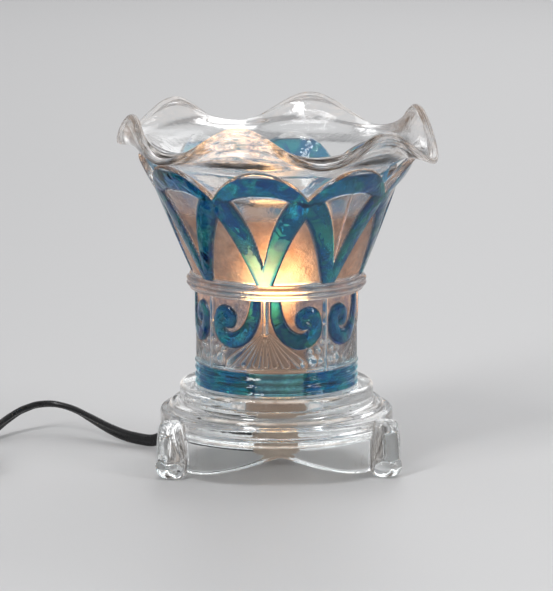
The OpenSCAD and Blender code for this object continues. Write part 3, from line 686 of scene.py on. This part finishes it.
def lower_tier(a, h):
    """Relief of a scroll panel, from 0 on the ground to 1 on its forms, then its masks likewise."""
    s = np.abs(from_nearest(a, REPEAT)) * math.radians(WAIST_R)
    edge = WAIST_R * math.radians(REPEAT / 2)
    scroll = scroll_band(s, h)
    flutes = fan_flutes(s, h)
    spine = dome(s / SPINE_HALF) * ease((h - FAN_AT + 3) / 2)
    divider = np.sqrt(dome((edge - s) / DIVIDER_HALF))
    petals = np.sqrt(flutes) * (1 - 0.6 * ease((flutes - 0.45) / 0.45))
    beads = np.maximum.reduce([np.sqrt(dome(np.hypot(s - x, h - y) / r)) for x, y, r in BEADS])
    sill = np.sqrt(dome((h - BAND_H - SILL_AT) / SILL_HALF))
    height = np.maximum.reduce([crown(scroll), petals, spine, 0.9 * divider, beads, 0.8 * sill])
    stain = ease(scroll / 0.16)
    frost = 0.4 * (1 - ease(height / 0.2))
    # Painted glow of the bulb's light on the petals' tops and in the windows, brighter towards the top.
    painted_petal_glow = 0.16 * ease((petals - 0.6) / 0.3)
    glow = np.maximum(frost * mix(0.1, 0.6, ease((h - 20) / 20)), painted_petal_glow)
    # Painted shade: hollows between the flutes and round the forms darkened.
    hollow = mix(0.7, 1.0, ease(flutes / 0.1)) * (1 - ease((height - 0.15) / 0.75))
    groove = mix(hollow, 1 - scroll, stain)
    return height, stain, frost, glow, groove, np.zeros_like(stain)


def shade_rows(z, a):
    """Radius of the outer wall and its masks, at heights and angles of one shape."""
    h = z - SHADE_LOW
    upper, lower = upper_tier(a, z), lower_tier(a, h)
    reed = 0.72 + 0.28 * np.cos(2 * math.pi * BAND_REEDS * h / BAND_H)
    ring = np.sqrt(dome((z - RING_LO - RING_H / 2) / (RING_H / 2 + 0.4)))
    ridge = RIDGE_H * np.cos(2 * math.pi * RING_RIDGES * (z - RING_LO) / RING_H)
    flare = flare_r(z) - RELIEF * (1 - upper[0])
    collar = COLLAR_R + RING_BULGE * (ring - RING_SINK) - RIDGE_H + ridge
    zones = [z >= RING_TOP, z > RING_LO, h <= BAND_H]
    r = np.select(zones, [flare, collar, WAIST_R - RELIEF * (1 - reed)], WAIST_R - RELIEF * (1 - lower[0]))
    none = np.zeros_like(r)
    # On the ring: a faint painted glow, and painted shade between the ridges.
    on_ring = (none, none + 0.4, none + 0.02, 0.7 * (1 - ease((ridge + RIDGE_H) / 0.4)), none)
    # On the bottom band: one zone a repeat is paler and glows as painted light, the rest darker as painted
    # shade.
    thin = 1 - ease((np.abs(from_nearest(a - PAINTED_LIGHT_AT, REPEAT)) - PAINTED_LIGHT_HALF) / 2)
    on_band = (none + 1, none, 0.3 * thin * reed ** 2, 0.3 * (1 - thin), 0.3 * thin)
    masks = [np.select(zones, [upper[k + 1], on_ring[k], on_band[k]], lower[k + 1])
             for k in range(len(MASKS))]
    return r, masks


def make_shade():
    a = np.linspace(0, 360, SHADE_COLS, endpoint=False)[None, :]
    low = np.concatenate([np.linspace(0, BAND_H, BAND_ROWS),
                          np.linspace(BAND_H + 0.1, TIER_H - 0.3, TIER_ROWS),
                          np.linspace(TIER_H + 0.1, TIER_H + RING_H - 0.1, RING_ROWS)])[:, None]
    rise = np.linspace(0.002, 1, FLARE_ROWS)[:, None]
    outer_z = np.vstack([SHADE_LOW + low + 0 * a, mix(RING_TOP, rim_z(a) - EDGE_R, rise)])
    outer_r, masks = shade_rows(outer_z, a + 0 * outer_z)
    down = np.linspace(TIER_H + RING_H - 1, 0, INNER_ROWS)[:, None]
    inner_z = np.vstack([mix(RING_TOP, rim_z(a) - EDGE_R, rise[::-3]), SHADE_LOW + down + 0 * a])
    inner = inner_r(inner_z)
    swing = np.radians(np.linspace(180, 0, 9)[1:-1])[:, None]
    middle, half = (outer_r[-1:] + inner[:1]) / 2, (outer_r[-1:] - inner[:1]) / 2
    edge_r, edge_z = middle - half * np.cos(swing), rim_z(a) - EDGE_R * (1 - np.sin(swing))
    r = np.vstack([outer_r, edge_r, inner])
    z = np.vstack([outer_z, edge_z, inner_z])
    points = around(r, np.radians(a), z).reshape(-1, 3)
    faces = grid_faces(len(r), SHADE_COLS, joined=True)
    piece = make_mesh("shade_glass", turned(points, SHADE_TURN), faces, PRESSED)
    pad = np.zeros((len(r) - len(outer_r), SHADE_COLS))
    for mask, values in zip(MASKS, masks):
        set_attribute(piece, mask, np.vstack([values, pad]).ravel())
    dress(piece, "shade", "stained_glass", "shade")


make_shade()


# Dish: the CAD profile of radius, height over the lobes and share of the rim's wave, drawn smooth

DISH_TURN = -106
DISH_COLS = 384
DISH_WALL = 4
DISH_RIM_R = 70
DISH_WAVES = 6
WAVE_H = 7.4
WAVE_R = 2.5
RIM_RISE = 9.3
DISH_LIFT = 0.45
SAG, SAG_AT, SAG_HALF = 4.4, 75, 42
RIM_STREAKS = 9
# Where the painted glow of the bulb's light on the dish is strongest, and its half width in degrees.
GLOW_AT, GLOW_HALF = 6, 36
SEAT_R = MOUTH_R - LIP_WALL
FLOOR_R = 0.3 * SEAT_R
DISH_STEPS = 6


def dish_profile():
    """The glass from under its floor round the rim to over the floor, and the height of its underside."""
    flare = DISH_RIM_R - SEAT_R
    bowl = [(0.48, 1), (0.58, 0.92), (0.69, 0.68), (0.81, 0.375), (0.91, 0.14)]
    half = [(share * SEAT_R, BOWL_LIFT - drop * BOWL_DEPTH, 0) for share, drop in bowl]
    half += [(SEAT_R, DISH_LIFT, 0), (SEAT_R + 0.35 * flare, 0.36 * RIM_RISE, 0.24),
             (SEAT_R + 0.72 * flare, 0.68 * RIM_RISE, 0.64), (DISH_RIM_R, RIM_RISE, 1)]
    thick = [1, 1.08, 1.22, 1.26, 1.26, 1.26, 1.26, 1.22]
    rim = [(DISH_RIM_R + 0.05 * DISH_WALL, RIM_RISE + 0.4 * DISH_WALL, 1),
           (DISH_RIM_R - 0.4 * DISH_WALL, RIM_RISE + 0.75 * DISH_WALL, 1),
           (DISH_RIM_R - 0.85 * DISH_WALL, RIM_RISE + 0.45 * DISH_WALL, 1)]
    inside = [(r - (0.3 * DISH_WALL if i > len(bowl) else 0), z + DISH_WALL * thick[i], w)
              for i, (r, z, w) in reversed(list(enumerate(half[:-1])))]
    low = half[0][1]
    outline = [(FLOOR_R, low, 0)] + half + rim + inside + [(FLOOR_R, low + DISH_WALL, 0)]
    return spline(outline, DISH_STEPS), low


def make_dish():
    profile, low = dish_profile()
    a = np.linspace(0, 2 * math.pi, DISH_COLS, endpoint=False)[None, :]
    wave = np.cos(DISH_WAVES * a)
    sag = SAG * dome((np.degrees(a) - SAG_AT) / SAG_HALF)
    r = profile[:, :1] - WAVE_R * profile[:, 2:] * wave
    z = SHADE_HIGH + profile[:, 1:2] + profile[:, 2:] * (WAVE_H * wave - sag)
    points = around(r, a, z).reshape(-1, 3)
    faces = grid_faces(len(profile), DISH_COLS)
    count, last = len(points), len(points) - DISH_COLS
    points = np.vstack([points, [0, 0, SHADE_HIGH + low], [0, 0, SHADE_HIGH + low + DISH_WALL]])
    for k in range(DISH_COLS):
        nxt = (k + 1) % DISH_COLS
        faces += [[count, nxt, k], [count + 1, last + k, last + nxt]]
    piece = make_mesh("oil_dish_glass", turned(points, DISH_TURN), faces, RIMMED)
    streak = 0.7 + 0.3 * np.cos(RIM_STREAKS * np.arange(len(profile)))
    on_seat = 0.6 * dome((profile[:, 0] - SEAT_R) / 6) * (profile[:, 2] < 0.3)
    rim = np.repeat(np.maximum(ease((profile[:, 2] - 0.55) / 0.45) * streak, on_seat), DISH_COLS)
    # Painted glow of the bulb's light: strongest on the wave at GLOW_AT, faint on the others and along the
    # rim.
    glow = 0.06 + 0.8 * dome(from_place(np.degrees(a), GLOW_AT) / GLOW_HALF)
    glow = ease((profile[:, 2:] - 0.05) / 0.4) * ease((wave + 1.2) / 1.2) * glow
    glow = np.maximum(glow, 0.08 * ease((profile[:, 2:] - 0.85) / 0.15))
    set_attribute(piece, "rim", np.append(rim, [0, 0]))
    set_attribute(piece, "glow", np.append(glow.ravel(), [0, 0]))
    dress(piece, "dish", "clear_glass", "oil_dish")


make_dish()


# Base: stepped body, scalloped skirt and three paw feet, melted into one glass

BASE_H = 38
BASE_R = 52.6
BELT_LOW, BELT_Z = 19.2, 26.5
LEDGE_R = BASE_R - 4.2
LEDGE_Z = 29.4
STEP_R = 43.7
SKIRT_R = BASE_R - 1.4
SKIRT_IN = SKIRT_R - 5
SKIRT_Z, SKIRT_TOP, SKIRT_ROOF = 2.4, 17.8, 20.5
HOLLOW_R = 37.5
HOLE_R = 14.3
PLATE = 6
SPIGOT_R = WAIST_R - WALL - 0.5
SPIGOT_IN = SPIGOT_R - 4
SPIGOT_TOP = BASE_H + 2.5
SCALLOP_AT = (-90, 30, 150)
SCALLOP_H, SCALLOP_HALF, SCALLOP_POINT, SCALLOP_POWER = 12, 52, 3, 1.6
FOOT_AT = (-150, -30, 90)
FOOT_R = 54.5
TOE_AT = (-58, 0, 58)
TOE_OUT, TOE_Z, TOE_R = 3.7, 4.75, 4.7
# Where the painted glow of the bulb's light lies on the base's step edges.
LIT_EDGES = [(BASE_H - 0.7, STEP_R - 1.6), (LEDGE_Z - 0.8, BASE_R - 5), (BELT_LOW - 0.2, SKIRT_R - 2)]
LIT_HALF = 0.8
LIT_FROM, LIT_FADE = 12, 14
MELT, MELT_SMOOTH = 0.7, 3
BASE_COLS = 360
FOOT_COLS = 48
BALL_COLS, BALL_ROWS = 32, 17


def skirt_edge(degrees):
    """Height of the skirt's lower edge: an arch between each two feet, with a soft point at its top."""
    off = np.hypot(from_any(degrees, SCALLOP_AT), SCALLOP_POINT)
    return SKIRT_Z + SCALLOP_H * np.maximum(0, 1 - off / SCALLOP_HALF) ** SCALLOP_POWER


def base_body():
    """The steps, the skirt and the hollow under them, without the feet."""
    a = np.linspace(0, 360, BASE_COLS, endpoint=False)
    edge = skirt_edge(a)
    top = [(HOLE_R, BASE_H), (SPIGOT_IN, BASE_H), (SPIGOT_IN, SPIGOT_TOP), (SPIGOT_R, SPIGOT_TOP),
           (SPIGOT_R, BASE_H), (STEP_R - 1.5, BASE_H), (STEP_R - 0.4, BASE_H - 0.4), (STEP_R, BASE_H - 1.5),
           (STEP_R, LEDGE_Z + 1), (STEP_R + 0.7, LEDGE_Z + 0.2), (LEDGE_R - 1, LEDGE_Z),
           (LEDGE_R, LEDGE_Z - 1), (LEDGE_R, BELT_Z + 0.3), (BASE_R - 1.4, BELT_Z),
           (BASE_R - 0.4, BELT_Z - 0.4), (BASE_R, BELT_Z - 1.4), (BASE_R, BELT_LOW), (SKIRT_R, SKIRT_TOP)]
    skirt = [(SKIRT_R, 1.2), (SKIRT_R - 0.6, 0.2), (SKIRT_R - 1.8, 0), (SKIRT_IN + 1.2, 0), (SKIRT_IN, 1.2)]
    under = [(SKIRT_IN, SKIRT_ROOF), (HOLLOW_R, SKIRT_ROOF), (HOLLOW_R, BASE_H - PLATE),
             (HOLE_R, BASE_H - PLATE)]
    level = np.zeros(BASE_COLS)
    rows = [(r + level, z + level) for r, z in top]
    rows += [(r + level, edge + lift) for r, lift in skirt]
    rows += [(r + level, z + level) for r, z in under]
    points = np.vstack([around(r, np.radians(a), z) for r, z in rows])
    return points, [face[::-1] for face in grid_faces(len(rows), BASE_COLS, joined=True)]


def ball(centre, radius):
    """Points and faces of a ball."""
    t = np.radians(np.linspace(-90, 90, BALL_ROWS))
    profile = np.stack([np.maximum(0, radius * np.cos(t)), radius * np.sin(t)], axis=1)
    profile[[0, -1], 0] = 0
    points, faces = lathe(profile, BALL_COLS)
    return points + centre, faces


def foot_forms():
    """A column up to the top of the widest step, and a paw of three toes, for each foot."""
    column = [(0, 0.05), (4.6, 0.05), (5.9, 1.6), (6.6, 4.2), (7.1, 7.5), (7.2, 10.5), (7.2, 14), (7.1, 17),
              (6.6, 21), (5.7, 24.2), (4, 25.7), (0, 26.2)]
    forms = [lathe(np.vstack([column[:1], spline(column[1:-1], 3), column[-1:]]), FOOT_COLS)]
    for toe in np.radians(TOE_AT):
        forms.append(ball((TOE_OUT * math.cos(toe), TOE_OUT * math.sin(toe), TOE_Z), TOE_R))
    return [(turned(points + (FOOT_R, 0, 0), at), faces) for at in FOOT_AT for points, faces in forms]


def joined(forms):
    """Points and faces of several forms as one mesh."""
    points, faces, start = [], [], 0
    for p, f in forms:
        points.append(p)
        faces += [[start + k for k in face] for face in f]
        start += len(p)
    return np.vstack(points), faces


def lit_edges(mesh):
    """Mask of the steps' outer edges between the feet, where a glow of the bulb's light carried round by the
    glass is painted.
    """
    points = np.empty(3 * len(mesh.vertices))
    mesh.vertices.foreach_get("co", points)
    x, y, z = points.reshape(-1, 3).T / MM
    off = from_any(np.degrees(np.arctan2(y, x)), FOOT_AT)
    edges = [dome((z - at) / LIT_HALF) * (np.hypot(x, y) > within) for at, within in LIT_EDGES]
    return np.maximum.reduce(edges) * ease((off - LIT_FROM) / LIT_FADE)


def make_base():
    points, faces = joined([base_body()] + foot_forms())
    rough = make_mesh("base_forms", points, faces, GLASS)
    melt = rough.modifiers.new("melt", "REMESH")
    melt.mode = "VOXEL"
    melt.voxel_size = MELT * MM
    smooth = rough.modifiers.new("smooth", "SMOOTH")
    smooth.iterations = MELT_SMOOTH
    mesh = bpy.data.meshes.new_from_object(rough.evaluated_get(bpy.context.evaluated_depsgraph_get()))
    bpy.data.objects.remove(rough)
    mesh.name = "base_glass"
    mesh.materials.clear()
    piece = make_piece(mesh, GLASS)
    # Mask of the painted glow on the step edges.
    set_attribute(piece, "edge", lit_edges(mesh))
    dress(piece, "base", "clear_glass", "glass_base")


make_base()


# Bulb

BULB_COLS = 96
BULB_WALL = 0.7
CROWN_WALL = 0.8
NECK_R = 6.1
WIDEST_UP = 19.5


def make_bulb():
    low, high = node_box("bulb_glass")
    neck_z, top = low[2], high[2]
    r = high[0]
    cap_top = node_box("bulb_cap")[1][2]
    middle = cap_top + WIDEST_UP
    crown_h = top - middle
    outer = [(NECK_R, neck_z), (NECK_R, cap_top + 0.2), (NECK_R + 1.1, cap_top + 2), (0.6 * r, cap_top + 8),
             (0.83 * r, cap_top + 14), (r, middle), (0.97 * r, middle + 0.31 * crown_h),
             (0.84 * r, middle + 0.62 * crown_h), (0.61 * r, middle + 0.85 * crown_h),
             (0.32 * r, middle + 0.97 * crown_h)]
    line = spline(outer, 5)
    line[:, 0] = np.minimum(line[:, 0], r)
    inner = line[::-1] - (BULB_WALL, 0)
    inner[:, 1] = np.minimum(inner[:, 1], top - CROWN_WALL - 0.1)
    points, faces = lathe(np.vstack([line, [(0, top)]]), BULB_COLS)
    count = len(points)
    inside, inside_faces = lathe(np.vstack([[(0, top - CROWN_WALL)], inner]), BULB_COLS)
    last = count + len(inside) - 1 - BULB_COLS
    following = [(k + 1) % BULB_COLS for k in range(BULB_COLS)]
    rim = [[k, last + k, last + nxt, nxt] for k, nxt in enumerate(following)]
    faces = faces + [[count + k for k in face] for face in inside_faces] + rim
    piece = make_mesh("bulb_envelope", np.vstack([points, inside]), faces,
                      opal_glass((cap_top + 2) * MM, (top - 2) * MM))
    dress(piece, "bulb", "bulb_glass", "bulb_glass")


make_bulb()


# Strain relief: a tapered boot with ribs, out of the holder's cap towards the rear left arch

OUTLET = 150
BOOT_Z = 9.8
BOOT_FROM, BOOT_TO = 8.9, 40.0
BOOT_R = (4.2, 3.3)
BOOT_ROWS = 85
BOOT_COLS = 48
BOOT_RIBS = 7
BOOT_PLAIN = 0.12
RIB_DEPTH = 0.45


def make_boot():
    reach = np.linspace(0, 1, BOOT_ROWS)
    groove = RIB_DEPTH * np.maximum(0, np.sin(2 * math.pi * BOOT_RIBS * reach)) ** 2
    radius = mix(*BOOT_R, reach) - np.where(reach < BOOT_PLAIN, 0, groove)
    profile = np.stack([radius, mix(BOOT_FROM, BOOT_TO, reach)], axis=1)
    points, faces = lathe(np.vstack([[(0, BOOT_FROM)], profile, [(0, BOOT_TO)]]), BOOT_COLS)
    points = np.stack([points[:, 2], points[:, 0], points[:, 1] + BOOT_Z], axis=1)
    piece = make_mesh("cord_boot_ribbed", turned(points, OUTLET), faces, CORD)
    dress(piece, "base", "black_pvc", "cord_boot")


make_boot()


# CAD nodes that keep their shape: finish, and a small rounding on moulded edges

FINISHES = {
    CREAM: ("holder_body", "lock_ring", "terminal_block", "holder_cap"),
    SILICONE: ("upper_gasket", "lower_gasket"),
    BRASS: ("terminal_screws", "screw_shell", "centre_contact", "bulb_cap", "plug_blades"),
    STEEL: ("contact_spring", "bulb_contact", "dimmer_pin", "dimmer_screws"),
    BLACK: ("bulb_insulator", "dimmer_lower", "dimmer_upper", "plug_body"),
    CORD: ("leads",),
    WHEEL: ("dimmer_wheel",),
    BOARD: ("dimmer_board",),
    GLASS: ("bulb_stem",),
    hot_wire(): ("bulb_filament",),
}
ROUNDED = {"dimmer_upper": 1.2, "dimmer_lower": 1.0, "plug_body": 1.2, "holder_body": 0.5,
           "holder_cap": 0.8, "dimmer_wheel": 0.3, "plug_blades": 0.3, "lock_ring": 0.5}
ROUND_STEPS = 3
WELD_GAP = 0.01


def finish_nodes():
    for material, names in FINISHES.items():
        for name in names:
            for slot in nodes[name].material_slots:
                slot.material = material


def round_edges(name, width):
    weld = nodes[name].modifiers.new("weld", "WELD")
    weld.merge_threshold = WELD_GAP * MM
    bevel = nodes[name].modifiers.new("rounding", "BEVEL")
    bevel.width = width * MM
    bevel.segments = ROUND_STEPS
    bevel.limit_method = "ANGLE"
    bevel.angle_limit = math.radians(SHARP_ANGLE)
    bevel.harden_normals = True


finish_nodes()
for name, width in ROUNDED.items():
    round_edges(name, width)


# Plain pale table and soft studio light

TABLE_HALF = 6000


def make_floor():
    f = Finish("table", Roughness=0.55)
    f.set("Base Color", f.blend(f.noise(900, detail=2), colour(0.6, 0.6, 0.602), colour(0.62, 0.62, 0.62)))
    corners = [(x * TABLE_HALF, y * TABLE_HALF, 0) for x, y in ((-1, -1), (1, -1), (1, 1), (-1, 1))]
    floor = make_mesh("table", corners, [[0, 1, 2, 3]], f.material)


def make_lamp(name, place, size, power):
    data = bpy.data.lights.new(name, "AREA")
    data.shape = "RECTANGLE"
    data.size, data.size_y = size
    data.energy = power
    lamp = bpy.data.objects.new(name, data)
    lamp.location = place
    lamp.rotation_euler = (VIEW_TARGET - Vector(place)).to_track_quat("-Z", "Y").to_euler()
    scene.collection.objects.link(lamp)


def make_world():
    world = bpy.data.worlds.new("studio")
    world.use_nodes = True
    tree = world.node_tree
    place = tree.nodes.new("ShaderNodeTexCoord")
    height = tree.nodes.new("ShaderNodeSeparateXYZ")
    ramp = tree.nodes.new("ShaderNodeValToRGB")
    tree.links.new(place.outputs["Generated"], height.inputs["Vector"])
    tree.links.new(height.outputs["Z"], ramp.inputs["Fac"])
    tree.links.new(ramp.outputs["Color"], tree.nodes["Background"].inputs["Color"])
    ramp.color_ramp.elements[0].color = colour(0.32, 0.32, 0.33)
    ramp.color_ramp.elements[1].color = colour(0.6, 0.6, 0.61)
    scene.world = world


make_floor()
make_world()
make_lamp("key", (-1.1, -1.2, 1.5), (0.3, 1.5), 20)
make_lamp("fill", (1.5, -0.9, 0.9), (0.25, 1.4), 8)
make_lamp("back", (0.9, 1.9, 1.5), (2.6, 1.5), 21)

scene.view_settings.view_transform = "Standard"
scene.cycles.max_bounces = 24
scene.cycles.transmission_bounces = 24
scene.cycles.glossy_bounces = 8
